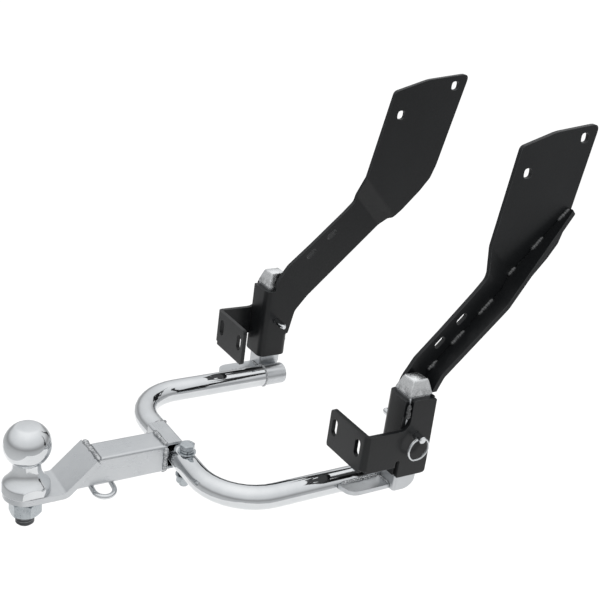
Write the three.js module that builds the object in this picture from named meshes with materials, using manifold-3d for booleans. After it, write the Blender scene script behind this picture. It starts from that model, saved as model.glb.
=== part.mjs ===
// Detachable motorcycle trailer hitch: a chrome U-tube frame with a square stub, a bent drawbar and a
// 1-7/8 inch ball, held by two posts that are pinned into sockets on two black side brackets.
// Millimetres. +Y is forward, from the ball towards the motorcycle, +X is right and +Z is up. Sizes are
// given from the axis of the stub tube, and the whole model is then moved so that the origin is midway
// between the bolt holes of the two wing plates, where the motorcycle holds the hitch.
import * as THREE from 'three';
import { mergeVertices } from 'three/addons/utils/BufferGeometryUtils.js';
import Module from 'manifold-3d';

const wasm = await Module();
wasm.setup();

const GAP = 0.3; // clearance between pieces that touch
const SHEET = 4.8; // 3/16 inch plate of the brackets

const BALL = { y: -174.1, z: 38.6, r: 23.8, flatR: 11.2 };
const COLLAR = { r: 24.4, flatX: 21.9 };
const SHANK = { r: 9.5, end: -52.5, chamfer: 2 };
const BALL_NUT = { across: 28.6, height: 16.3 };
const BALL_WASHER = { r: 16.2, height: 4.4 };

const DRAWBAR = { top: -12.3, thickness: 6.8, halfWidth: 22.3, endY: -174.6, bendY: -141.3, tilt: 0.752, rise: 45.6 };
const STUB = { half: 15.875, wall: 4.8, corner: 3, front: -29.2 };
const LOOP = { rod: 2.8, halfWidth: 11, y: -97.8, root: 3, centre: 16.8, droop: 0.16 };

const TUBE = { r: 12.7, wall: 2.4, armX: 116, crossY: -13, bend: 58, end: 163.7 };
const ARM_END = { start: 164, length: 28.6, wall: 3 };
const SADDLE = { left: -32, right: 12, front: -10, inner: 13 };
const FRAME_BOLT = { x: 30, r: 4.76, across: 14.3, headHeight: 5.8, end: -27, washer: 1.6, lock: 2.2 };

const POST = { inner: 129.2, width: 25.4, depth: 28, rear: 166.9, wall: 3.2, top: 111.3, bottomRadius: 16 };
const CAP = { height: 17.3, shoulder: 13.8, inset: 3.6, crownInset: 7.4 };
const GUSSET = { thickness: 4.8, outer: 148, rear: 114 };

const SOCKET_X = 126.5; // middle of the strap beside the socket
const SOCKET = { top: 108, bottom: 21, rearWall: 164.2, frontWall: 197.6, lip: 154.6 };
const STRAP = { socketU: 222, jogLowU: 350, jogLowX: 121.8, bend: 8 };
// The wing plate leans: its middle is at x = start - slope * u, and slope * v is added across it.
const WING = { u: 371, end: 600, start: 123.6, slope: 0.0297 };
const SLOT = { length: 15, width: 6.5 };
const WING_HOLES = [[379.6, 362.2], [306.4, 327.3]];
const PLATE = { x: 157.3, tabY: 119.4, tabEnd: 94, front: 200.5, bend: 3.2 };
const RIB = { thickness: 5.5, bottom: 108.3 };

const PIN = { r: 3.97, hole: 4.35, y: 179.6, z: 68.5, tip: 104.6, head: 172 };
const RING = { x: 166.8, r: 12.7, wire: 1.2, hole: 2.2 };
const SCREW = { r: 4.76, x: 146, z: 31.5, head: 209 };

const CHROME = new THREE.Color(0.78, 0.79, 0.8);
const SATIN = new THREE.Color(0.68, 0.7, 0.71);
const ZINC = new THREE.Color(0.62, 0.66, 0.68);
const BLACK = new THREE.Color(0.03, 0.032, 0.034);
const STEEL = new THREE.Color(0.72, 0.73, 0.74);

// Turns a closed three.js geometry into a manifold-3d solid.
function solid(geometry) {
  const bare = geometry.clone();
  bare.deleteAttribute('normal');
  bare.deleteAttribute('uv');
  const merged = mergeVertices(bare, 1e-4);
  return new wasm.Manifold(new wasm.Mesh({
    numProp: 3,
    vertProperties: new Float32Array(merged.attributes.position.array),
    triVerts: new Uint32Array(merged.index.array),
  }));
}

function toGeometry(body) {
  const mesh = body.getMesh();
  const geometry = new THREE.BufferGeometry();
  geometry.setAttribute('position', new THREE.BufferAttribute(new Float32Array(mesh.vertProperties), 3));
  geometry.setIndex(new THREE.BufferAttribute(new Uint32Array(mesh.triVerts), 1));
  return geometry;
}

const AXES = {
  // A shape drawn in (y, z) and pushed along +X.
  x: new THREE.Matrix4().makeBasis(
    new THREE.Vector3(0, 1, 0), new THREE.Vector3(0, 0, 1), new THREE.Vector3(1, 0, 0)),
  // A shape drawn in (z, x) and pushed along +Y.
  y: new THREE.Matrix4().makeBasis(
    new THREE.Vector3(0, 0, 1), new THREE.Vector3(1, 0, 0), new THREE.Vector3(0, 1, 0)),
  // A shape drawn in (x, y) and pushed along +Z.
  z: new THREE.Matrix4(),
};

// Pushes a shape from one value of an axis to another.
function push(shape, axis, from, to, curveSegments = 6) {
  const geometry = new THREE.ExtrudeGeometry(shape, { depth: to - from, bevelEnabled: false, curveSegments });
  geometry.translate(0, 0, from);
  geometry.applyMatrix4(AXES[axis]);
  return solid(geometry);
}

function box(x0, x1, y0, y1, z0, z1) {
  const geometry = new THREE.BoxGeometry(x1 - x0, y1 - y0, z1 - z0);
  geometry.translate((x0 + x1) / 2, (y0 + y1) / 2, (z0 + z1) / 2);
  return solid(geometry);
}

// A polygon whose corners may carry a rounding radius: [x, y] or [x, y, radius].
function outline(corners) {
  const shape = new THREE.Shape();
  corners.forEach(([x, y, radius = 0], i) => {
    const corner = new THREE.Vector2(x, y);
    const before = new THREE.Vector2(...corners.at(i - 1)).sub(corner);
    const after = new THREE.Vector2(...corners[(i + 1) % corners.length]).sub(corner);
    const half = Math.acos(before.dot(after) / before.length() / after.length()) / 2;
    const back = radius / Math.tan(half);
    const start = corner.clone().addScaledVector(before.normalize(), back);
    const end = corner.clone().addScaledVector(after.normalize(), back);
    if (i === 0) shape.moveTo(start.x, start.y);
    else shape.lineTo(start.x, start.y);
    if (radius > 0) shape.quadraticCurveTo(x, y, end.x, end.y);
  });
  shape.closePath();
  return shape;
}

// The section of a bent sheet: its middle line, with round bends, thickened to both sides.
function ribbon(middle, thickness, bend, arcSteps = 5) {
  const line = [];
  const points = middle.map(([x, y]) => new THREE.Vector2(x, y));
  points.forEach((corner, i) => {
    const first = i === 0;
    const last = i === points.length - 1;
    if (first || last) {
      const other = first ? points[1] : points[i - 1];
      const along = other.clone().sub(corner).normalize().multiplyScalar(first ? 1 : -1);
      line.push({ at: corner, along });
      return;
    }
    const into = corner.clone().sub(points[i - 1]).normalize();
    const out = points[i + 1].clone().sub(corner).normalize();
    const turn = Math.atan2(into.cross(out), into.dot(out));
    const back = bend * Math.tan(Math.abs(turn) / 2);
    const start = corner.clone().addScaledVector(into, -back);
    const side = new THREE.Vector2(-into.y, into.x).multiplyScalar(Math.sign(turn) * bend);
    const centre = start.clone().add(side);
    for (let k = 0; k <= arcSteps; k++) {
      const angle = turn * k / arcSteps;
      line.push({
        at: start.clone().rotateAround(centre, angle),
        along: into.clone().rotateAround(new THREE.Vector2(), angle),
      });
    }
  });
  const edge = (sign) => line.map(({ at, along }) =>
    new THREE.Vector2(at.x - along.y * sign * thickness / 2, at.y + along.x * sign * thickness / 2));
  return new THREE.Shape([...edge(-1), ...edge(1).reverse()]);
}

// A path with its stations exactly where they are wanted.
class StationPath extends THREE.Curve {
  constructor(stations) {
    super();
    this.stations = stations;
  }

  pick(u) {
    return this.stations[Math.round(u * (this.stations.length - 1))];
  }

  getPointAt(u) {
    return this.pick(u).at.clone();
  }

  getTangentAt(u) {
    return this.pick(u).along.clone();
  }
}

function sweep(shape, stations, curveSegments = 6) {
  const path = new StationPath(stations);
  return new THREE.ExtrudeGeometry(shape, { steps: stations.length - 1, extrudePath: path, curveSegments });
}

function circle(radius) {
  return new THREE.Shape().absarc(0, 0, radius, 0, 2 * Math.PI);
}

function circlePath(x, y, radius) {
  return new THREE.Path().absarc(x, y, radius, 0, 2 * Math.PI, true);
}

// A turned solid: profile of [radius, height] about +Z.
function turned(profile, segments = 32) {
  const geometry = new THREE.LatheGeometry(profile.map(([r, h]) => new THREE.Vector2(r, h)), segments);
  geometry.rotateX(Math.PI / 2);
  return geometry;
}

function hexagon(across, x = 0, y = 0, phase = 0) {
  const radius = across / Math.sqrt(3);
  const points = [...Array(6).keys()].map((k) => {
    const angle = phase + k * Math.PI / 3;
    return new THREE.Vector2(x + radius * Math.cos(angle), y + radius * Math.sin(angle));
  });
  return new THREE.Shape(points);
}

function slotShape(x, y, length, width, angle) {
  const half = (length - width) / 2;
  const shape = new THREE.Shape();
  const dx = Math.cos(angle) * half;
  const dy = Math.sin(angle) * half;
  shape.absarc(x + dx, y + dy, width / 2, angle - Math.PI / 2, angle + Math.PI / 2);
  shape.absarc(x - dx, y - dy, width / 2, angle + Math.PI / 2, angle + 1.5 * Math.PI);
  return shape;
}

// ---------------------------------------------------------------- ball and its fasteners

function hitchBall() {
  const flatZ = BALL.z + Math.sqrt(BALL.r ** 2 - BALL.flatR ** 2);
  const profile = [[0, SHANK.end], [SHANK.r - SHANK.chamfer, SHANK.end]];
  profile.push([SHANK.r, SHANK.end + SHANK.chamfer], [SHANK.r, DRAWBAR.top + GAP]);
  profile.push([COLLAR.r, DRAWBAR.top + GAP], [COLLAR.r - 0.6, -4.6], [22.2, -2.6], [19.6, 0.4]);
  profile.push([17, 4], [15, 8.6], [14.1, 13.2]);
  const low = Math.asin(14 / BALL.r);
  const high = Math.PI - Math.asin(BALL.flatR / BALL.r);
  for (let k = 0; k <= 14; k++) {
    const angle = low + (high - low) * k / 14;
    profile.push([BALL.r * Math.sin(angle), BALL.z - BALL.r * Math.cos(angle)]);
  }
  profile.push([0, flatZ]);
  const geometry = turned(profile, 40);
  geometry.translate(0, BALL.y, 0);
  const collarSpan = [BALL.y - 30, BALL.y + 30, DRAWBAR.top - 1, BALL.z - BALL.r];
  return toGeometry(solid(geometry)
    .subtract(box(COLLAR.flatX, 40, ...collarSpan))
    .subtract(box(-40, -COLLAR.flatX, ...collarSpan)));
}

function ring(outer, inner, height, segments = 32) {
  return turned([[inner, 0], [outer, 0], [outer, height], [inner, height], [inner, 0]], segments);
}

// A split spring washer standing on z, with its slit at the given angle.
function lockWasher(outer, inner, height, x, y, z, slit) {
  const geometry = ring(outer, inner, height, 28);
  geometry.translate(x, y, z);
  const cut = new THREE.BoxGeometry(outer, 1.2, height * 3);
  cut.translate(outer * 0.75, 0, height / 2);
  cut.rotateZ(slit);
  cut.translate(x, y, z);
  return toGeometry(solid(geometry).subtract(solid(cut)));
}

// A hexagonal nut or bolt head with the corners turned off at both faces.
function hexBody(across, height, x, y, z, bore, phase = 0) {
  const corner = across / Math.sqrt(3);
  const body = push(hexagon(across, x, y, phase), 'z', z, z + height);
  const turnedOff = [[0, 0], [across * 0.47, 0], [corner + 0.2, height * 0.14], [corner + 0.2, height * 0.86]];
  const limit = turned([...turnedOff, [across * 0.47, height], [0, height]], 30);
  limit.translate(x, y, z);
  const shaped = body.intersect(solid(limit));
  return bore ? shaped.subtract(push(circle(bore), 'z', -1, height + 1, 14).translate([x, y, z])) : shaped;
}

const drawbarBottom = DRAWBAR.top - DRAWBAR.thickness;
const ballNutTop = drawbarBottom - BALL_WASHER.height - 2 * GAP;

function ballNut() {
  const z = ballNutTop - BALL_NUT.height;
  return toGeometry(hexBody(BALL_NUT.across, BALL_NUT.height, 0, BALL.y, z, SHANK.r + GAP));
}

function ballLockWasher() {
  const z = drawbarBottom - GAP - BALL_WASHER.height;
  return lockWasher(BALL_WASHER.r, SHANK.r + GAP, BALL_WASHER.height, 0, BALL.y, z, -1.9);
}

// ---------------------------------------------------------------- drawbar, stub tube and chain loop

function drawbarPlate() {
  const half = DRAWBAR.thickness / 2;
  const cornerY = DRAWBAR.bendY + half * Math.tan(DRAWBAR.tilt / 2);
  const cornerZ = DRAWBAR.top - half;
  const endY = cornerY + DRAWBAR.rise * Math.cos(DRAWBAR.tilt);
  const endZ = cornerZ + DRAWBAR.rise * Math.sin(DRAWBAR.tilt);
  const rearY = DRAWBAR.endY - DRAWBAR.halfWidth;
  const section = ribbon([[rearY - 5, cornerZ], [cornerY, cornerZ], [endY, endZ]], DRAWBAR.thickness, 9);
  const plan = new THREE.Shape();
  plan.absarc(0, DRAWBAR.endY, DRAWBAR.halfWidth, Math.PI, 2 * Math.PI);
  plan.lineTo(DRAWBAR.halfWidth, endY + 20);
  plan.lineTo(-DRAWBAR.halfWidth, endY + 20);
  plan.holes.push(circlePath(0, BALL.y, SHANK.r + GAP));
  const plate = push(section, 'x', -DRAWBAR.halfWidth, DRAWBAR.halfWidth);
  return toGeometry(plate.intersect(push(plan, 'z', -60, 60, 14)));
}

function squareSection(half, corner) {
  return outline([[-half, -half, corner], [half, -half, corner], [half, half, corner], [-half, half, corner]]);
}

function stubTube() {
  const section = squareSection(STUB.half, STUB.corner);
  section.holes.push(squareSection(STUB.half - STUB.wall, 1));
  const tube = push(section, 'y', -160, STUB.front, 3);
  // The rear end is cut to lie against the underside of the sloping drawbar.
  const along = new THREE.Vector2(Math.cos(DRAWBAR.tilt), Math.sin(DRAWBAR.tilt));
  const depth = DRAWBAR.thickness + GAP;
  const start = new THREE.Vector2(DRAWBAR.bendY, DRAWBAR.top).addScaledVector(new THREE.Vector2(along.y, -along.x), depth);
  const low = start.clone().addScaledVector(along, -60);
  const high = start.clone().addScaledVector(along, 120);
  const waste = new THREE.Shape([low, high, new THREE.Vector2(-220, high.y), new THREE.Vector2(-220, low.y)]);
  return toGeometry(tube.subtract(push(waste, 'x', -30, 30)));
}

function chainLoop() {
  const stations = [];
  const z = -STUB.half - LOOP.rod - GAP;
  const place = (x, y) => new THREE.Vector3(x, y, z - (x - LOOP.root) * LOOP.droop);
  const straight = new THREE.Vector3(1, 0, -LOOP.droop).normalize();
  stations.push({ at: place(LOOP.root, LOOP.y - LOOP.halfWidth), along: straight });
  for (let k = 0; k <= 12; k++) {
    const angle = -Math.PI / 2 + Math.PI * k / 12;
    const along = new THREE.Vector3(-Math.sin(angle), Math.cos(angle), Math.sin(angle) * LOOP.droop).normalize();
    const x = LOOP.centre + LOOP.halfWidth * Math.cos(angle);
    stations.push({ at: place(x, LOOP.y + LOOP.halfWidth * Math.sin(angle)), along });
  }
  stations.push({ at: place(LOOP.root, LOOP.y + LOOP.halfWidth), along: straight.clone().negate() });
  return sweep(circle(LOOP.rod), stations, 6);
}

// ---------------------------------------------------------------- U-tube frame

function uTube() {
  const stations = [];
  const inset = TUBE.armX - TUBE.bend;
  const centreY = TUBE.crossY + TUBE.bend;
  const forward = new THREE.Vector3(0, 1, 0);
  stations.push({ at: new THREE.Vector3(-TUBE.armX, TUBE.end, 0), along: forward.clone().negate() });
  for (const side of [-1, 1]) {
    for (let k = 0; k <= 9; k++) {
      const swing = side < 0 ? Math.PI + k * Math.PI / 18 : 1.5 * Math.PI + k * Math.PI / 18;
      stations.push({
        at: new THREE.Vector3(side * inset + TUBE.bend * Math.cos(swing), centreY + TUBE.bend * Math.sin(swing), 0),
        along: new THREE.Vector3(-Math.sin(swing), Math.cos(swing), 0),
      });
    }
  }
  stations.push({ at: new THREE.Vector3(TUBE.armX, TUBE.end, 0), along: forward });
  const section = circle(TUBE.r);
  section.holes.push(circlePath(0, 0, TUBE.r - TUBE.wall));
  const tube = solid(sweep(section, stations, 12));
  const hole = push(circle(FRAME_BOLT.r + GAP), 'z', -30, 30, 10).translate([FRAME_BOLT.x, TUBE.crossY, 0]);
  return toGeometry(tube.subtract(hole));
}

function armEnd() {
  const { length, wall } = ARM_END;
  const inner = TUBE.r - wall;
  const profile = [[0, length], [TUBE.r - 2.4, length], [TUBE.r - 0.7, length - 0.7], [TUBE.r, length - 2.4]];
  const geometry = turned([...profile, [TUBE.r, 0], [inner, 0], [inner, length - wall], [0, length - wall]].reverse(), 28);
  geometry.rotateX(-Math.PI / 2);
  geometry.translate(TUBE.armX, ARM_END.start, 0);
  return geometry;
}

function saddle() {
  const outer = STUB.half;
  const rear = STUB.front + GAP;
  const inner = SADDLE.inner;
  const innerRear = TUBE.crossY - inner;
  // Drawn in (y, z): a channel that opens forward round the crossbar.
  const section = outline([
    [rear, -outer, 3], [SADDLE.front, -outer, 0.8], [SADDLE.front, -inner], [innerRear, -inner, 1.5],
    [innerRear, inner, 1.5], [SADDLE.front, inner], [SADDLE.front, outer, 0.8], [rear, outer, 3],
  ]);
  return toGeometry(push(section, 'x', SADDLE.left, SADDLE.right, 3));
}

const lockZ = TUBE.r + GAP + FRAME_BOLT.washer + GAP;
const headZ = lockZ + FRAME_BOLT.lock + GAP;

function frameBolt() {
  const { x, r, across, headHeight, end } = FRAME_BOLT;
  const head = hexBody(across, headHeight, x, TUBE.crossY, headZ, 0, 0.35);
  const shank = turned([[0, end], [r - 0.8, end], [r, end + 0.8], [r, headZ + 1], [0, headZ + 1]], 24);
  shank.translate(x, TUBE.crossY, 0);
  return toGeometry(head.add(solid(shank)));
}

function frameBoltWasher(z) {
  const geometry = ring(9.6, FRAME_BOLT.r + GAP, FRAME_BOLT.washer, 28);
  geometry.translate(FRAME_BOLT.x, TUBE.crossY, z);
  return geometry;
}

function frameBoltNut() {
  const { x, r, across, washer } = FRAME_BOLT;
  const height = 8.2;
  const z = -TUBE.r - washer - 2 * GAP - height;
  return toGeometry(hexBody(across, height, x, TUBE.crossY, z, r + GAP, 0.2));
}

// ---------------------------------------------------------------- posts and gussets (right side)

const postFront = POST.rear + POST.depth;
const postOuter = POST.inner + POST.width;
const postMiddle = { x: POST.inner + POST.width / 2, y: POST.rear + POST.depth / 2 };
const pinBore = push(circle(PIN.hole), 'x', 90, 190, 5).translate([0, PIN.y, PIN.z]);

function post() {
  const radius = POST.bottomRadius;
  const side = new THREE.Shape();
  side.moveTo(POST.rear, 0);
  side.lineTo(postFront - radius, 0);
  side.absarc(postFront - radius, radius, radius, -Math.PI / 2, 0);
  side.lineTo(postFront, POST.top - GAP);
  side.lineTo(POST.rear, POST.top - GAP);
  const { wall, inner, rear } = POST;
  const hollow = box(inner + wall, postOuter - wall, rear + wall, postFront - wall, 14, POST.top + 5);
  const plan = outline([[inner, rear, 3.4], [postOuter, rear, 3.4], [postOuter, postFront, 3.4], [inner, postFront, 3.4]]);
  const body = push(side, 'x', inner, postOuter).intersect(push(plan, 'z', -1, POST.top));
  return toGeometry(body.subtract(hollow).subtract(pinBore));
}

function postCap() {
  const corner = (inset) => (POST.width / 2 - inset) * Math.SQRT2;
  const profile = [[0, 0], [corner(0), 0], [corner(0), 1.5], [corner(CAP.inset), CAP.shoulder]];
  profile.push([corner((CAP.inset + CAP.crownInset) / 2 - 0.6), CAP.height - 1.1]);
  profile.push([corner(CAP.crownInset), CAP.height], [0, CAP.height + 0.6]);
  const geometry = turned(profile, 4);
  geometry.rotateZ(Math.PI / 4);
  geometry.scale(1, POST.depth / POST.width, 1);
  geometry.translate(postMiddle.x, postMiddle.y, POST.top);
  return geometry;
}

function gusset() {
  const inner = TUBE.armX + TUBE.r + GAP;
  const front = POST.rear - GAP;
  const plan = outline([[inner, GUSSET.rear], [GUSSET.outer, GUSSET.rear + 4, 15], [GUSSET.outer, front], [inner, front]]);
  return toGeometry(push(plan, 'z', 0, GUSSET.thickness, 8));
}

// ---------------------------------------------------------------- brackets (right side)

// The strap and the wing plate rise at 45 degrees: u is measured up that line and v across it, forwards
// and down. This is the middle of the sheet in X against u.
const wingX = (u) => WING.start - WING.slope * u;
const profileLine = [
  [60, SOCKET_X], [STRAP.socketU, SOCKET_X], [STRAP.jogLowU, STRAP.jogLowX], [WING.u, wingX(WING.u)],
  [WING.end, wingX(WING.end)],
];

// Places a shape drawn in (u, x) and pushed along v.
function pushAcrossStrap(shape, from, to) {
  const geometry = new THREE.ExtrudeGeometry(shape, { depth: to - from, bevelEnabled: false, curveSegments: 6 });
  geometry.translate(0, 0, from);
  const root = Math.SQRT1_2;
  const v = new THREE.Vector3(0, root, -root);
  geometry.applyMatrix4(new THREE.Matrix4().makeBasis(new THREE.Vector3(0, root, root), new THREE.Vector3(1, 0, 0), v));
  return solid(geometry);
}

// Leans the wing plate across its width, fading out down the jog.
function leanWing(geometry) {
  const position = geometry.attributes.position;
  for (let i = 0; i < position.count; i++) {
    const u = (position.getY(i) + position.getZ(i)) * Math.SQRT1_2;
    const v = (position.getY(i) - position.getZ(i)) * Math.SQRT1_2;
    const share = THREE.MathUtils.clamp((u - STRAP.jogLowU) / (WING.u - STRAP.jogLowU), 0, 1);
    position.setX(i, position.getX(i) + WING.slope * v * share);
  }
  return geometry;
}

// The wing's holes are square with round corners.
function squareHole(y, z) {
  return outline([[y - 5.5, z - 5.5, 4.5], [y + 5.5, z - 5.5, 4.5], [y + 5.5, z + 5.5, 4.5], [y - 5.5, z + 5.5, 4.5]]);
}

function bracket() {
  const sheet = pushAcrossStrap(ribbon(profileLine, SHEET, STRAP.bend), -250, 250);
  const { rearWall, frontWall, lip, bottom, top } = SOCKET;
  const side = outline([
    [398.3, 377, 7], [376, 262, 40], [370.5, 245.5, 14], [358.5, 229.5, 30], [336, 205.5, 20], [324, 195.5, 6],
    [318, 194.5, 6], [306, 183, 30], [221, 98.5, 20], [205, 79, 16], [200, 54, 8], [199, 50], [191, 46], [190, bottom],
    [175, bottom], [174, 117, 30], [188.5, 139.5, 20], [217.5, 166.5, 60], [256, 204, 12], [268.5, 217.5, 14],
    [274, 247, 20], [292.6, 355.5, 7], [338.7, 369.6, 60],
  ]);
  const plate = push(side, 'x', 90, 140).intersect(sheet);
  const rearFold = ribbon([[lip, rearWall], [SOCKET_X, rearWall], [SOCKET_X, 190]], SHEET, 5.5);
  const frontFold = ribbon([[SOCKET_X, 180], [SOCKET_X, frontWall], [lip, frontWall]], SHEET, 5.5);
  const holes = [
    ...WING_HOLES.map(([y, z]) => squareHole(y, z)),
    slotShape(242.4, 176.8, SLOT.length, SLOT.width, 0.75), slotShape(217.4, 153.6, SLOT.length, SLOT.width, 0.75),
  ];
  let body = plate.add(push(rearFold, 'z', bottom, top)).add(push(frontFold, 'z', bottom, top));
  for (const hole of holes) body = body.subtract(push(hole, 'x', 90, 140, 4));
  const screwHole = push(circle(SCREW.r + GAP), 'y', 185, 205, 10).translate([SCREW.x, 0, SCREW.z]);
  return leanWing(toGeometry(body.subtract(pinBore).subtract(screwHole)));
}

// A flat bar on edge along the outside of the strap, bent down at its foot to stand on the front web.
function rib() {
  const bar = ribbon([[383, 287.6], [212, 125], [202.5, RIB.bottom - 3]], RIB.thickness, 12);
  const clear = SHEET / 2 + 0.5;
  const lean = WING.slope * 68;
  const edge = outline([
    [200, SOCKET_X + clear], [STRAP.socketU + 5, SOCKET_X + clear], [STRAP.jogLowU + 1, STRAP.jogLowX + clear + 0.1],
    [WING.u + 1, wingX(WING.u) + clear + lean], [468.5, wingX(468.5) + clear + lean],
    [468.5, 121.5, 3], [338, 146.8, 40], [200, 148],
  ]);
  const limit = box(90, 160, 190, 400, RIB.bottom, 320);
  return toGeometry(push(bar, 'x', 100, 155).intersect(pushAcrossStrap(edge, -150, 150)).intersect(limit));
}

function socketPlate() {
  const { x, tabY, tabEnd, front, bend } = PLATE;
  const sheet = push(ribbon([[tabEnd, tabY], [x, tabY], [x, front]], SHEET, bend), 'z', 15, 115);
  const side = outline([
    [110, 31.5], [125, 33.5], [159, 33.5], [159, 41, 2.4], [164.2, 41, 2.4], [164.2, 20], [201, 19.5, 5], [198.6, 108.5, 3],
    [169, 109.5, 3], [169.5, 75.5, 12], [110, 76.5],
  ]);
  const tab = outline([[31.5, tabEnd, 5], [31.5, 200], [76.3, 200], [76.3, tabEnd, 5]]);
  const keep = push(tab, 'y', tabY - 5, tabY + 3).add(box(140, 170, tabY + 2, front + 5, 10, 120));
  const relief = box(153, 170, tabY - 6, tabY + 3, 20, 36.5);
  let body = sheet.intersect(push(side, 'x', 80, 170)).intersect(keep).subtract(relief).subtract(pinBore);
  for (const slotX of [103.5, 145]) body = body.subtract(push(slotShape(58, slotX, 20, 9, 0), 'y', 100, 140, 6));
  return toGeometry(body);
}

// ---------------------------------------------------------------- pins, rings and screws (right side)

function hitchPin() {
  const length = PIN.head - PIN.tip;
  const profile = [[0, 0], [PIN.r - 1.6, 0], [PIN.r, 2.6], [PIN.r, length - 0.9], [PIN.r - 0.9, length], [0, length]];
  const geometry = turned(profile, 24);
  geometry.rotateY(Math.PI / 2);
  geometry.translate(PIN.tip, PIN.y, PIN.z);
  const cross = push(circle(RING.hole), 'y', PIN.y - 9, PIN.y + 9, 4).translate([RING.x, 0, PIN.z]);
  return toGeometry(solid(geometry).subtract(cross));
}

function pullRing() {
  const geometry = new THREE.TorusGeometry(RING.r, RING.wire, 8, 32);
  geometry.rotateY(Math.PI / 2);
  geometry.translate(RING.x, PIN.y, PIN.z - RING.r);
  return geometry;
}

function antiRattleScrew() {
  const start = postFront + GAP;
  const length = SCREW.head - start;
  const geometry = turned([[0, 0], [SCREW.r - 1, 0], [SCREW.r, 1], [SCREW.r, length - 0.7], [SCREW.r - 0.7, length], [0, length]], 24);
  const socket = new THREE.CylinderGeometry(2.75, 2.75, 10, 6);
  socket.rotateX(Math.PI / 2);
  socket.translate(0, 0, length);
  const body = toGeometry(solid(geometry).subtract(solid(socket)));
  body.rotateX(-Math.PI / 2);
  body.translate(SCREW.x, start, SCREW.z);
  return body;
}

// ---------------------------------------------------------------- assembly

// The same shape on the other side of the object, with its faces still pointing out.
function mirrored(geometry) {
  const copy = geometry.index ? geometry.clone() : mergeVertices(geometry);
  copy.scale(-1, 1, 1);
  const index = copy.index.array;
  for (let k = 0; k < index.length; k += 3) [index[k], index[k + 1]] = [index[k + 1], index[k]];
  return copy;
}

const model = new THREE.Group();
const [upper, lower] = WING_HOLES;
model.position.set(0, -(upper[0] + lower[0]) / 2, -(upper[1] + lower[1]) / 2);

function add(name, geometry, color, roughness, metalness) {
  const bare = geometry.clone();
  bare.deleteAttribute('uv');
  const mesh = new THREE.Mesh(bare, new THREE.MeshStandardMaterial({ color, roughness, metalness }));
  mesh.name = name;
  model.add(mesh);
}

function addPair(name, geometry, color, roughness, metalness) {
  add(`${name}_right`, geometry, color, roughness, metalness);
  add(`${name}_left`, mirrored(geometry), color, roughness, metalness);
}

add('hitch_ball', hitchBall(), CHROME, 0.12, 1);
add('ball_lock_washer', ballLockWasher(), ZINC, 0.35, 1);
add('ball_nut', ballNut(), ZINC, 0.35, 1);
add('drawbar_plate', drawbarPlate(), SATIN, 0.3, 1);
add('stub_tube', stubTube(), SATIN, 0.3, 1);
add('chain_loop', chainLoop(), CHROME, 0.15, 1);
add('saddle', saddle(), SATIN, 0.3, 1);
add('u_tube', uTube(), CHROME, 0.12, 1);
add('frame_bolt', frameBolt(), ZINC, 0.35, 1);
add('frame_bolt_lock_washer', lockWasher(7.6, FRAME_BOLT.r + GAP, FRAME_BOLT.lock, FRAME_BOLT.x, TUBE.crossY, lockZ, -0.4),
  ZINC, 0.35, 1);
add('frame_bolt_washer_upper', frameBoltWasher(TUBE.r + GAP), ZINC, 0.35, 1);
add('frame_bolt_washer_lower', frameBoltWasher(-TUBE.r - GAP - FRAME_BOLT.washer), ZINC, 0.35, 1);
add('frame_bolt_nut', frameBoltNut(), ZINC, 0.35, 1);
addPair('arm_end', armEnd(), SATIN, 0.3, 1);
addPair('gusset', gusset(), SATIN, 0.3, 1);
addPair('post', post(), SATIN, 0.35, 1);
addPair('post_cap', postCap(), SATIN, 0.35, 1);
addPair('bracket', bracket(), BLACK, 0.4, 0);
addPair('socket_plate', socketPlate(), BLACK, 0.4, 0);
addPair('rib', rib(), BLACK, 0.4, 0);
addPair('hitch_pin', hitchPin(), STEEL, 0.2, 1);
addPair('pull_ring', pullRing(), STEEL, 0.15, 1);
addPair('anti_rattle_screw', antiRattleScrew(), ZINC, 0.3, 1);

export default model;
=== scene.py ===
import bmesh
import bpy
import math
import random
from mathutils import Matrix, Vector


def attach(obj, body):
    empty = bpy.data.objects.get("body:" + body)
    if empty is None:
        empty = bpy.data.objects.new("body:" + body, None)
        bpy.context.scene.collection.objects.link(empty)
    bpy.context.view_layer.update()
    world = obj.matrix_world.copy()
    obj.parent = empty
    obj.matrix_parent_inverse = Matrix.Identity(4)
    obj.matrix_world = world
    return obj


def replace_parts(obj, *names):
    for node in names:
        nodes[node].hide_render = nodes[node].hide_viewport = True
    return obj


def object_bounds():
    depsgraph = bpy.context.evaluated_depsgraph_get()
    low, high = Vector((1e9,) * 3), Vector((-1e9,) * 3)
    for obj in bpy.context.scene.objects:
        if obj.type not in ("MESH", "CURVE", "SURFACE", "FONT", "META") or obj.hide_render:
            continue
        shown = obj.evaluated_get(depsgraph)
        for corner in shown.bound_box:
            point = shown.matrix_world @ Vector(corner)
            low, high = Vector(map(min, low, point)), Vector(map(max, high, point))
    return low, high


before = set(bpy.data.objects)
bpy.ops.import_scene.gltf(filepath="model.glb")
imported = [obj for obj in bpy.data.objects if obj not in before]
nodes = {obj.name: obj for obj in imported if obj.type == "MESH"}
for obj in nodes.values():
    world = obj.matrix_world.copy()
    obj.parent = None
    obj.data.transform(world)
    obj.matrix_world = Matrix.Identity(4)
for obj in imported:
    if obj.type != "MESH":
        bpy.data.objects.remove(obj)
cad_box = [list(corner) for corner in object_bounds()]
random.seed(7)

# Positions below are in mm from the axis of the stub tube. ORIGIN is the row frame's origin in them.
# The right side is described, and the left side mirrors it.
ORIGIN = (0, 343.0, 344.75)
SIDES = (("right", 1), ("left", -1))

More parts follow.
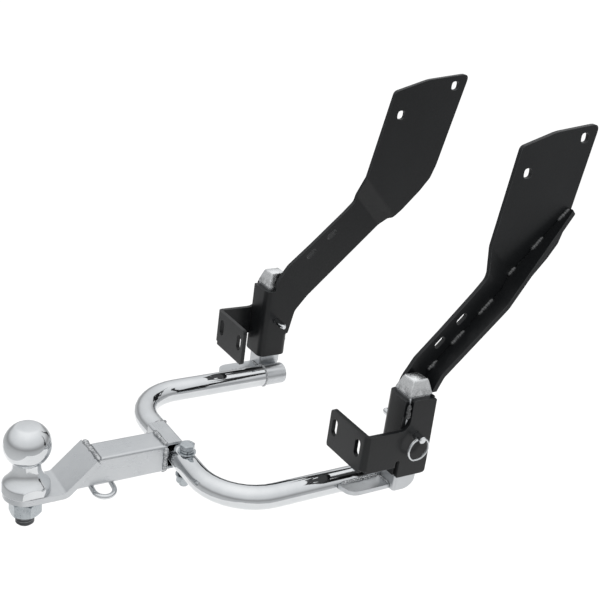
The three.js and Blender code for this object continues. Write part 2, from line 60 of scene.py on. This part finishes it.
SHANK_TOP = -13.0  # the ball's collar ends and its dark shank begins
CAP_FOOT = 109.0  # foot of the post caps
WELD_BAND = 12.0  # height of the mottled band of weld round a cap
BALL_Y = -174.1
SHANK_R = 9.5
FRAME_BOLT_X = 30
FRAME_BOLT_R = 4.76
ARM_X = 116
CROSS_Y = -13  # middle of the U tube's crossbar
ARM_END_Y = 163.9  # joint of the arm and the short piece on its end
PIN_Y = 179.6
PIN_Z = 68.5
RING_X = 166.8
RING_R = 12.7
STUB_FRONT = -29.6
FLOOR_DROP = 0.3  # metres from the lowest point down to the floor


# ---------------------------------------------------------------- node helpers

class Maker:
    """Builds one procedural material."""

    def __init__(self, name):
        self.material = bpy.data.materials.new(name)
        self.material.use_nodes = True
        self.tree = self.material.node_tree
        self.shader = self.tree.nodes["Principled BSDF"]
        self.place = self.add("ShaderNodeTexCoord").outputs["Object"]

    def add(self, kind, **settings):
        node = self.tree.nodes.new(kind)
        for key, value in settings.items():
            setattr(node, key, value)
        return node

    def put(self, value, socket):
        if isinstance(value, bpy.types.NodeSocket):
            self.tree.links.new(value, socket)
        else:
            socket.default_value = value

    def noise(self, scale, detail=3.0, roughness=0.5, stretch=None):
        node = self.add("ShaderNodeTexNoise")
        node.inputs["Scale"].default_value = scale
        node.inputs["Detail"].default_value = detail
        node.inputs["Roughness"].default_value = roughness
        self.put(self.stretched(stretch) if stretch else self.place, node.inputs["Vector"])
        return node.outputs["Fac"]

    def stretched(self, factors):
        node = self.add("ShaderNodeMapping")
        node.inputs["Scale"].default_value = factors
        self.put(self.place, node.inputs["Vector"])
        return node.outputs["Vector"]

    def ramp(self, value, low, high, out_low=0.0, out_high=1.0):
        node = self.add("ShaderNodeMapRange")
        node.inputs["From Min"].default_value = low
        node.inputs["From Max"].default_value = high
        node.inputs["To Min"].default_value = out_low
        node.inputs["To Max"].default_value = out_high
        self.put(value, node.inputs["Value"])
        return node.outputs["Result"]

    def mix(self, factor, a, b):
        node = self.add("ShaderNodeMix", data_type="RGBA")
        self.put(factor, node.inputs["Factor"])
        self.put((*a, 1) if isinstance(a, tuple) else a, node.inputs["A"])
        self.put((*b, 1) if isinstance(b, tuple) else b, node.inputs["B"])
        return node.outputs["Result"]

    def math(self, operation, a, b=0.0):
        node = self.add("ShaderNodeMath", operation=operation)
        self.put(a, node.inputs[0])
        self.put(b, node.inputs[1])
        return node.outputs[0]

    def height(self, axis):
        node = self.add("ShaderNodeSeparateXYZ")
        self.put(self.place, node.inputs[0])
        return node.outputs[axis]

    def bevelled(self, radius):
        node = self.add("ShaderNodeBevel", samples=4)
        node.inputs["Radius"].default_value = radius
        return node.outputs["Normal"]

    def edge(self, radius, low=0.02, high=0.25):
        """1 along the sharp edges of the solid, 0 on its faces."""
        product = self.add("ShaderNodeVectorMath", operation="DOT_PRODUCT")
        self.put(self.bevelled(radius), product.inputs[0])
        self.put(self.add("ShaderNodeNewGeometry").outputs["Normal"], product.inputs[1])
        return self.ramp(self.math("SUBTRACT", 1.0, product.outputs["Value"]), low, high)

    def bump(self, height, strength, distance, normal=None):
        node = self.add("ShaderNodeBump")
        node.inputs["Strength"].default_value = strength
        node.inputs["Distance"].default_value = distance
        self.put(height, node.inputs["Height"])
        if normal:
            self.put(normal, node.inputs["Normal"])
        return node.outputs["Normal"]

    def finish(self, color, roughness, metallic, normal=None):
        self.put(color, self.shader.inputs["Base Color"])
        self.put(roughness, self.shader.inputs["Roughness"])
        self.shader.inputs["Metallic"].default_value = metallic
        if normal:
            self.put(normal, self.shader.inputs["Normal"])
        return self.material


def polished(name, bevel=0.0006):
    """Polished chrome plate with faint haze and very fine polishing marks."""
    m = Maker(name)
    haze = m.noise(28, 4, 0.6)
    fine = m.noise(900, 2, 0.5)
    color = m.mix(m.ramp(haze, 0.35, 0.7), (0.60, 0.615, 0.63), (0.66, 0.674, 0.686))
    roughness = m.ramp(haze, 0.3, 0.75, 0.035, 0.085)
    return m.finish(color, roughness, 1.0, m.bump(fine, 0.03, 0.0001, m.bevelled(bevel)))


def satin(name, brush, dull=0.30):
    """Brushed bright steel: fine marks drawn out along one axis, over soft blotches."""
    m = Maker(name)
    marks = m.noise(700, 3, 0.6, brush)
    blotch = m.noise(45, 4, 0.55)
    base = m.mix(m.ramp(blotch, 0.3, 0.72), (0.50, 0.516, 0.532), (0.56, 0.574, 0.587))
    color = m.mix(m.ramp(marks, 0.35, 0.7, 0.0, 0.18), base, (0.60, 0.612, 0.624))
    fine = m.ramp(marks, 0.3, 0.7, dull - 0.03, dull + 0.04)
    roughness = m.math("ADD", fine, m.ramp(blotch, 0.3, 0.7, -0.03, 0.03))
    return m.finish(color, roughness, 1.0, m.bump(marks, 0.025, 0.0001, m.bevelled(0.0009)))


def cast(name):
    """Dull cast steel of the post caps, with a dark mottled band of weld round the base."""
    m = Maker(name)
    lumps = m.noise(230, 4, 0.65)
    pits = m.noise(900, 3, 0.6)
    low = (CAP_FOOT - ORIGIN[2]) / 1000
    high = low + WELD_BAND / 1000
    base = m.ramp(m.height("Z"), low, high, 1.0, 0.1)
    blotch = m.math("MULTIPLY", base, m.ramp(lumps, 0.42, 0.62))
    color = m.mix(m.ramp(pits, 0.3, 0.7), (0.74, 0.752, 0.76), (0.86, 0.868, 0.874))
    color = m.mix(blotch, color, (0.20, 0.205, 0.21))
    normal = m.bump(pits, 0.10, 0.0002, m.bump(lumps, 0.6, 0.0008, m.bevelled(0.0018)))
    return m.finish(color, m.ramp(lumps, 0.3, 0.7, 0.16, 0.30), 1.0, normal)


def zinc(name):
    """Clear zinc plate, slightly blue, mottled."""
    m = Maker(name)
    mottle = m.noise(160, 4, 0.65)
    speck = m.noise(900, 2, 0.5)
    color = m.mix(m.ramp(mottle, 0.3, 0.7), (0.36, 0.39, 0.41), (0.50, 0.53, 0.55))
    roughness = m.ramp(mottle, 0.3, 0.7, 0.22, 0.36)
    return m.finish(color, roughness, 1.0, m.bump(speck, 0.08, 0.0002, m.bevelled(0.0005)))


def ball_chrome(name):
    """The ball, neck and collar are polished; the shank below the collar is dark plain steel."""
    m = Maker(name)
    haze = m.noise(35, 4, 0.6)
    low = m.math("LESS_THAN", m.height("Z"), (SHANK_TOP - ORIGIN[2]) / 1000)
    chrome = m.mix(m.ramp(haze, 0.35, 0.7), (0.62, 0.636, 0.65), (0.68, 0.694, 0.705))
    steel = m.mix(m.ramp(haze, 0.35, 0.65), (0.045, 0.047, 0.05), (0.09, 0.093, 0.097))
    roughness = m.math("ADD", m.ramp(haze, 0.3, 0.75, 0.06, 0.12), m.math("MULTIPLY", low, 0.3))
    fine = m.bump(m.noise(800, 2), 0.03, 0.0001, m.bevelled(0.0006))
    return m.finish(m.mix(low, chrome, steel), roughness, 1.0, fine)


def powder_coat(name):
    """Satin black powder coat: orange peel, fine grain, and a lighter line along the edges that is partly
    wear and partly painted highlight.
    """
    m = Maker(name)
    peel = m.noise(420, 2, 0.4)
    grain = m.noise(2400, 2, 0.5)
    cloud = m.noise(14, 3, 0.5)
    base = m.mix(m.ramp(cloud, 0.3, 0.7), (0.0035, 0.0040, 0.0046), (0.006, 0.0066, 0.0073))
    base = m.mix(m.ramp(grain, 0.45, 0.8, 0.0, 0.5), base, (0.014, 0.0148, 0.0156))
    # lighter colour along the sharp edges: painted highlight, and partly edge wear
    edge_wear_and_highlight = m.math("MULTIPLY", m.edge(0.0012), m.ramp(m.noise(90, 3), 0.35, 0.65, 0.35, 1.0))
    color = m.mix(edge_wear_and_highlight, base, (0.06, 0.063, 0.066))
    roughness = m.ramp(peel, 0.3, 0.7, 0.29, 0.37)
    m.shader.inputs["Specular IOR Level"].default_value = 0.29
    normal = m.bump(grain, 0.12, 0.0001, m.bump(peel, 0.22, 0.0003, m.bevelled(0.0011)))
    return m.finish(color, roughness, 0.0, normal)


def weld_metal(name, light, dark, metallic, roughness, gloss=0.5):
    m = Maker(name)
    m.shader.inputs["Specular IOR Level"].default_value = gloss
    soot = m.noise(300, 4, 0.6)
    fine = m.noise(1500, 2)
    color = m.mix(m.ramp(soot, 0.35, 0.68), dark, light)
    shine = m.ramp(soot, 0.3, 0.7, roughness + 0.08, roughness - 0.05)
    return m.finish(color, shine, metallic, m.bump(fine, 0.25, 0.0002))


FINISH = {
    "chrome": polished("polished_chrome"),
    "satin_y": satin("satin_steel_lengthwise", (1, 0.06, 1)),
    "satin_x": satin("satin_steel_crosswise", (0.06, 1, 1)),
    "satin_z": satin("satin_steel_upright", (1, 1, 0.06), 0.32),
    "cast": cast("cast_steel"),
    "zinc": zinc("zinc_plate"),
    "thread": weld_metal("dark_thread", (0.26, 0.265, 0.27), (0.10, 0.103, 0.107), 1.0, 0.34),
    "ball": ball_chrome("ball_chrome"),
    "black": powder_coat("black_powder_coat"),
    "bright": polished("bright_pin_steel", 0.0004),
    "weld_bright": weld_metal("weld_bright", (0.62, 0.63, 0.64), (0.24, 0.25, 0.26), 1.0, 0.24),
    "weld_black": weld_metal("weld_coated", (0.030, 0.032, 0.034), (0.006, 0.0065, 0.007), 0.0, 0.20, 1.0),
}

USES = {
    "chrome": ["u_tube", "chain_loop"],
    "satin_y": ["stub_tube", "drawbar_plate", "arm_end", "gusset"],
    "satin_x": ["saddle"],
    "satin_z": ["post"],
    "cast": ["post_cap"],
    "zinc": ["ball_lock_washer", "ball_nut", "frame_bolt_lock_washer", "frame_bolt_washer_upper",
             "frame_bolt_washer_lower", "frame_bolt", "frame_bolt_nut", "anti_rattle_screw"],
    "ball": ["hitch_ball"],
    "black": ["bracket", "socket_plate", "rib"],
    "bright": ["hitch_pin", "pull_ring"],
}


def soften(mesh, limit=0.8):
    """Shades curved faces as curved: facets that meet at less than 37 degrees share a normal."""
    meeting = {}
    corners = []
    for face in mesh.polygons:
        points = [mesh.vertices[index].co for index in face.vertices]
        for k, loop in enumerate(face.loop_indices):
            here, before, after = points[k], points[k - 1], points[(k + 1) % len(points)]
            weight = (before - here).angle(after - here, 0) * face.area
            place = tuple(round(value * 1e5) for value in here)
            meeting.setdefault(place, []).append((face.normal.copy(), weight))
            corners.append((loop, place, face.normal.copy()))
    normals = [Vector((0, 0, 1))] * len(corners)
    for loop, place, own in corners:
        near = [normal * weight for normal, weight in meeting[place] if normal.dot(own) > limit]
        shared = sum(near, Vector())
        normals[loop] = shared.normalized() if shared.length > 0 else own
    mesh.shade_smooth()
    mesh.normals_split_custom_set(normals)


for finish, names in USES.items():
    for base in names:
        for node_name in (base, base + "_right", base + "_left"):
            if node_name in nodes:
                mesh = nodes[node_name].data
                mesh.materials.clear()
                mesh.materials.append(FINISH[finish])
                soften(mesh)


# ---------------------------------------------------------------- new pieces

def publish(name, mesh, body, finish):
    piece = bpy.data.objects.new(name, mesh)
    bpy.context.scene.collection.objects.link(piece)
    mesh.materials.append(FINISH[finish])
    mesh.shade_smooth()
    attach(piece, body)
    return piece


def sweep(points, sizes, sides=12):
    """Closed skin of round sections of the given sizes along a path of points in mm."""
    bm = bmesh.new()
    loops = []
    across = None
    for k, at in enumerate(points):
        direction = (points[min(k + 1, len(points) - 1)] - points[max(k - 1, 0)]).normalized()
        if across is None:
            across = direction.orthogonal()
        across = (across - direction * across.dot(direction)).normalized()
        other = direction.cross(across)
        turns = [2 * math.pi * j / sides for j in range(sides)]
        ring = [at + (across * math.cos(a) + other * math.sin(a)) * sizes[k] for a in turns]
        loops.append([bm.verts.new((point - Vector(ORIGIN)) / 1000) for point in ring])
    for a, b in zip(loops, loops[1:]):
        for j in range(sides):
            bm.faces.new((a[j], a[(j + 1) % sides], b[(j + 1) % sides], b[j]))
    bm.faces.new(loops[0][::-1])
    bm.faces.new(loops[-1])
    return bm


def finished(name, bm, body, finish):
    bmesh.ops.recalc_face_normals(bm, faces=bm.faces[:])
    mesh = bpy.data.meshes.new(name)
    bm.to_mesh(mesh)
    bm.free()
    return publish(name, mesh, body, finish)


def along(points, travel):
    for a, b in zip(points, points[1:]):
        length = (b - a).length
        if travel <= length or b is points[-1]:
            return a.lerp(b, min(1, travel / length))
        travel -= length


def bead(name, path, radius, finish, sign=1, step=0.95, per=6):
    """A weld bead laid along a path in mm: a row of ripples of uneven size that taper at both ends."""
    points = [Vector((sign * x, y, z)) for x, y, z in path]
    total = sum((b - a).length for a, b in zip(points, points[1:]))
    ripples = max(2, round(total / (radius * step)))
    puffs = [random.uniform(0.84, 1.12) for _ in range(ripples + 1)]
    shifts = [Vector([random.uniform(-0.07, 0.07) * radius for _ in range(3)]) for _ in range(ripples + 1)]
    count = ripples * per
    places, sizes = [], []
    for k in range(count + 1):
        ripple, part = divmod(k, per)
        swell = 0.78 + 0.22 * math.sqrt(max(0, 1 - (2 * part / per - 1) ** 2))
        end = math.sqrt(min(1, (k + 0.5) / per, (count - k + 0.5) / per))
        places.append(along(points, total * k / count) + shifts[ripple])
        sizes.append(radius * puffs[ripple] * swell * end)
    return finished(name, sweep(places, sizes), "hitch_frame", finish)


def thread(name, x, y, low, high, radius, pitch, finish):
    """The ridge of an outside screw thread on an upright shank."""
    steps = round((high - low) / pitch * 28)
    bm = bmesh.new()
    loops = []
    for k in range(steps + 1):
        angle = 2 * math.pi * k / 28
        z = low + (high - low) * k / steps
        fade = min(1, k / 10, (steps - k) / 10)
        section = [(radius - 0.4, -0.46 * pitch), (radius + 0.22 * fade, 0), (radius - 0.4, 0.46 * pitch)]
        spots = [(x + r * math.cos(angle), y + r * math.sin(angle), z + rise) for r, rise in section]
        loops.append([bm.verts.new((Vector(spot) - Vector(ORIGIN)) / 1000) for spot in spots])
    for a, b in zip(loops, loops[1:]):
        for j in range(3):
            bm.faces.new((a[j], a[(j + 1) % 3], b[(j + 1) % 3], b[j]))
    bm.faces.new(loops[0][::-1])
    bm.faces.new(loops[-1])
    piece = finished(name, bm, "hitch_frame", finish)
    piece.data.shade_flat()
    return piece


# The strap runs up a 45 degree line. u is measured along it, and v across it.
DIAGONAL = math.sqrt(0.5)
STRAP_X = 126.5  # middle of the strap at its foot
STRAP_TOP_X = 121.8  # and where the wing plate's jog begins
STRAP_FOOT_U = 222
JOG_LOW_U = 350
JOG_HIGH_U = 371
WING_X = 123.6  # the leaning wing plate, carried on to u = 0
LEAN = 0.0297
HALF_SHEET = 2.4
RIB_FOOT = (238.3, 58.3)  # u and v of the rib's root at its lower end
RIB_DRIFT = 0.02543  # how far the rib's root moves across the strap as it climbs


def wing_face(u, v):
    """Outer face of the strap or wing plate, in x."""
    climb = (u - JOG_LOW_U) / (JOG_HIGH_U - JOG_LOW_U)
    if u < STRAP_FOOT_U:
        x = STRAP_X
    elif u < JOG_LOW_U:
        x = STRAP_X - (STRAP_X - STRAP_TOP_X) * (u - STRAP_FOOT_U) / (JOG_LOW_U - STRAP_FOOT_U)
    elif u < JOG_HIGH_U:
        x = STRAP_TOP_X + (WING_X - LEAN * JOG_HIGH_U - STRAP_TOP_X) * climb
    else:
        x = WING_X - LEAN * u
    return x + LEAN * v * min(max(climb, 0), 1) + HALF_SHEET


def stitch(low, high, lift=0.9, count=7):
    """Path of one short weld between the rib and the plate."""
    path = []
    for k in range(count):
        u = low + (high - low) * k / (count - 1)
        v = RIB_FOOT[1] + (u - RIB_FOOT[0]) * RIB_DRIFT
        path.append((wing_face(u, v) + lift, (u + v) * DIAGONAL, (u - v) * DIAGONAL))
    return path


def arc(radius, start, end, count):
    """Points (across, up) on an arc round the axis of a level tube, between two angles in degrees."""
    angles = [math.radians(start + (end - start) * k / count) for k in range(count + 1)]
    return [(radius * math.cos(angle), radius * math.sin(angle)) for angle in angles]


def coated_weld(name, path, radius, sign=1):
    bead(name, path, radius, "weld_black", sign)


def bright_weld(name, path, radius, sign=1):
    bead(name, path, radius, "weld_bright", sign)


def side_welds(side, sign):
    """Welds of one bracket, one arm end, one gusset and one post."""
    stitches = [(449, 467.5), (405, 425), (367, 380), (313, 336.5), (270, 291), (233, 248)]
    for k, (low, high) in enumerate(stitches):
        coated_weld(f"rib_weld_{k}_{side}", stitch(low, high), 3.1, sign)
    coated_weld(f"socket_weld_{side}", [(156.6, 166.4, 88), (156.6, 166.2, 105)], 2.7, sign)
    around = [(ARM_X + across, ARM_END_Y, up) for across, up in arc(12.8, 0, 360, 48)]
    bright_weld(f"arm_end_weld_{side}", around, 1.25, sign)
    upper = [(128.9, 118, 4.4), (129.1, 140, 4.8), (128.9, 163, 4.4)]
    bright_weld(f"gusset_weld_{side}", upper, 2.3, sign)
    bright_weld(f"gusset_weld_under_{side}", [(128.8, 118, -0.6), (128.8, 163, -0.6)], 1.7, sign)
    bright_weld(f"post_foot_weld_{side}", [(131, 166.4, 5.0), (146, 166.4, 5.0)], 1.5, sign)
    left, right, rear, front, top = 130.2, 153.6, 167.9, 193.9, 111.4
    corners = [(left, rear), (right, rear), (right, front), (left, front), (left, rear)]
    bright_weld(f"cap_weld_{side}", [(x, y, top) for x, y in corners], 1.15, sign)


def drawbar_welds():
    """Welds of the drawbar plate, the saddle and the chain loop."""
    bright_weld("drawbar_weld_top", [(-20, -106.6, 17.4), (20, -106.6, 17.4)], 3.2)
    for side, sign in SIDES:
        bright_weld(f"drawbar_weld_{side}", [(17, -107.5, 15), (17, -137, -12.5)], 2.3, sign)
        edge = [(16.2, STUB_FRONT - 0.2, 14), (16.2, STUB_FRONT - 0.2, -15)]
        bright_weld(f"saddle_weld_{side}", edge, 2.9, sign)
    bright_weld("saddle_weld_top", [(-15, STUB_FRONT, 16.1), (15, STUB_FRONT, 16.1)], 3.0)
    bright_weld("saddle_weld_bottom", [(-15, STUB_FRONT, -16.1), (15, STUB_FRONT, -16.1)], 2.0)
    around = [(-33.6, CROSS_Y + across, up) for across, up in arc(13.6, 60, 300, 40)]
    bright_weld("saddle_end_weld", around, 2.6)
    for k, y in enumerate((-108.8, -86.8)):
        bright_weld(f"chain_loop_weld_{k}", [(1, y, -17.0), (12, y, -17.4)], 2.4)


def split_ring(name, sign, body):
    """Two turns of round wire that lie side by side, with the ends cut square."""
    steps = 120
    wire = 1.0
    centre = Vector((sign * RING_X, PIN_Y, PIN_Z - RING_R))
    places = []
    for k in range(steps + 1):
        angle = math.radians(250) + 4 * math.pi * k / steps
        shift = 0.95 * math.sin(math.pi * (k / steps - 0.5))
        places.append(centre + Vector((sign * shift, math.cos(angle) * RING_R, math.sin(angle) * RING_R)))
    return finished(name, sweep(places, [wire] * len(places), 10), body, "bright")


for side, sign in SIDES:
    side_welds(side, sign)
drawbar_welds()
thread("ball_thread", 0, BALL_Y, -49.2, -42.0, SHANK_R, 2.54, "thread")
thread("frame_bolt_thread", FRAME_BOLT_X, CROSS_Y, -26.0, -24.1, FRAME_BOLT_R, 1.95, "zinc")
for side, sign in SIDES:
    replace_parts(split_ring(f"split_ring_{side}", sign, f"ring_{side}"), f"pull_ring_{side}")


# ---------------------------------------------------------------- floor, light and camera

def pale_floor():
    bm = bmesh.new()
    bmesh.ops.create_grid(bm, x_segments=1, y_segments=1, size=0.8)
    mesh = bpy.data.meshes.new("floor")
    bm.to_mesh(mesh)
    bm.free()
    floor = bpy.data.objects.new("floor", mesh)
    floor.location = (0, 0, cad_box[0][2] - FLOOR_DROP)
    bpy.context.scene.collection.objects.link(floor)
    m = Maker("pale_floor")
    color = m.mix(m.ramp(m.noise(3, 2), 0.3, 0.7), (0.93, 0.93, 0.93), (0.95, 0.95, 0.95))
    mesh.materials.append(m.finish(color, 0.9, 0.0))


# What polished metal mirrors, from straight down (0) through the horizon (0.5) to straight up (1).
LOWEST = (0.80, 0.81, 0.82, 1)
HIGHEST = (1.3, 1.3, 1.3, 1)
BANDS = ((0.30, 0.66), (0.43, 0.56), (0.50, 0.40), (0.54, 0.48), (0.66, 0.84), (0.82, 1.0))
WHITE = 1.06


def studio_world():
    """A white studio. Mirroring surfaces see a sky that is grey at the horizon and bright overhead."""
    world = bpy.data.worlds.new("studio")
    bpy.context.scene.world = world
    world.use_nodes = True
    tree = world.node_tree
    direction = tree.nodes.new("ShaderNodeTexCoord")
    split = tree.nodes.new("ShaderNodeSeparateXYZ")
    tree.links.new(direction.outputs["Generated"], split.inputs[0])
    level = tree.nodes.new("ShaderNodeMapRange")
    level.inputs["From Min"].default_value = -1
    tree.links.new(split.outputs["Z"], level.inputs["Value"])
    sky = tree.nodes.new("ShaderNodeValToRGB")
    tree.links.new(level.outputs["Result"], sky.inputs["Fac"])
    ramp = sky.color_ramp.elements
    ramp[0].color = LOWEST
    ramp[1].color = HIGHEST
    for position, grey in BANDS:
        ramp.new(position).color = (grey, grey * 1.01, grey * 1.02, 1)
    seen = tree.nodes.new("ShaderNodeLightPath")
    mirror = tree.nodes.new("ShaderNodeMix")
    mirror.data_type = "RGBA"
    tree.links.new(seen.outputs["Is Glossy Ray"], mirror.inputs["Factor"])
    mirror.inputs["A"].default_value = (WHITE, WHITE, WHITE, 1)
    tree.links.new(sky.outputs["Color"], mirror.inputs["B"])
    tree.links.new(mirror.outputs["Result"], tree.nodes["Background"].inputs["Color"])


def softbox(name, at, target, width, height, power):
    light = bpy.data.lights.new(name, "AREA")
    light.shape = "RECTANGLE"
    light.size = width
    light.size_y = height
    light.energy = power
    lamp = bpy.data.objects.new(name, light)
    lamp.location = at
    lamp.visible_glossy = False
    lamp.rotation_euler = (Vector(target) - Vector(at)).to_track_quat("-Z", "Y").to_euler()
    bpy.context.scene.collection.objects.link(lamp)


pale_floor()
studio_world()
centre = (0, -0.25, -0.2)
softbox("overhead", (0.3, -0.3, 1.9), centre, 2.2, 2.2, 7)
softbox("front_left", (-1.0, -2.2, 1.2), centre, 1.6, 1.6, 4)
softbox("right_side", (2.2, 0.2, 1.3), centre, 1.4, 1.6, 4)

scene = bpy.context.scene
scene.view_settings.view_transform = "Standard"
scene.view_settings.look = "None"
camera_data = bpy.data.cameras.new("camera")
camera_data.lens = 66.17
camera_data.sensor_width = 36
camera_data.clip_end = 100
camera = bpy.data.objects.new("camera", camera_data)
camera.location = (0.89486, -0.84499, 0.27982)
camera.rotation_euler = (1.16314, -0.12776, 1.01545)
scene.collection.objects.link(camera)
scene.camera = camera
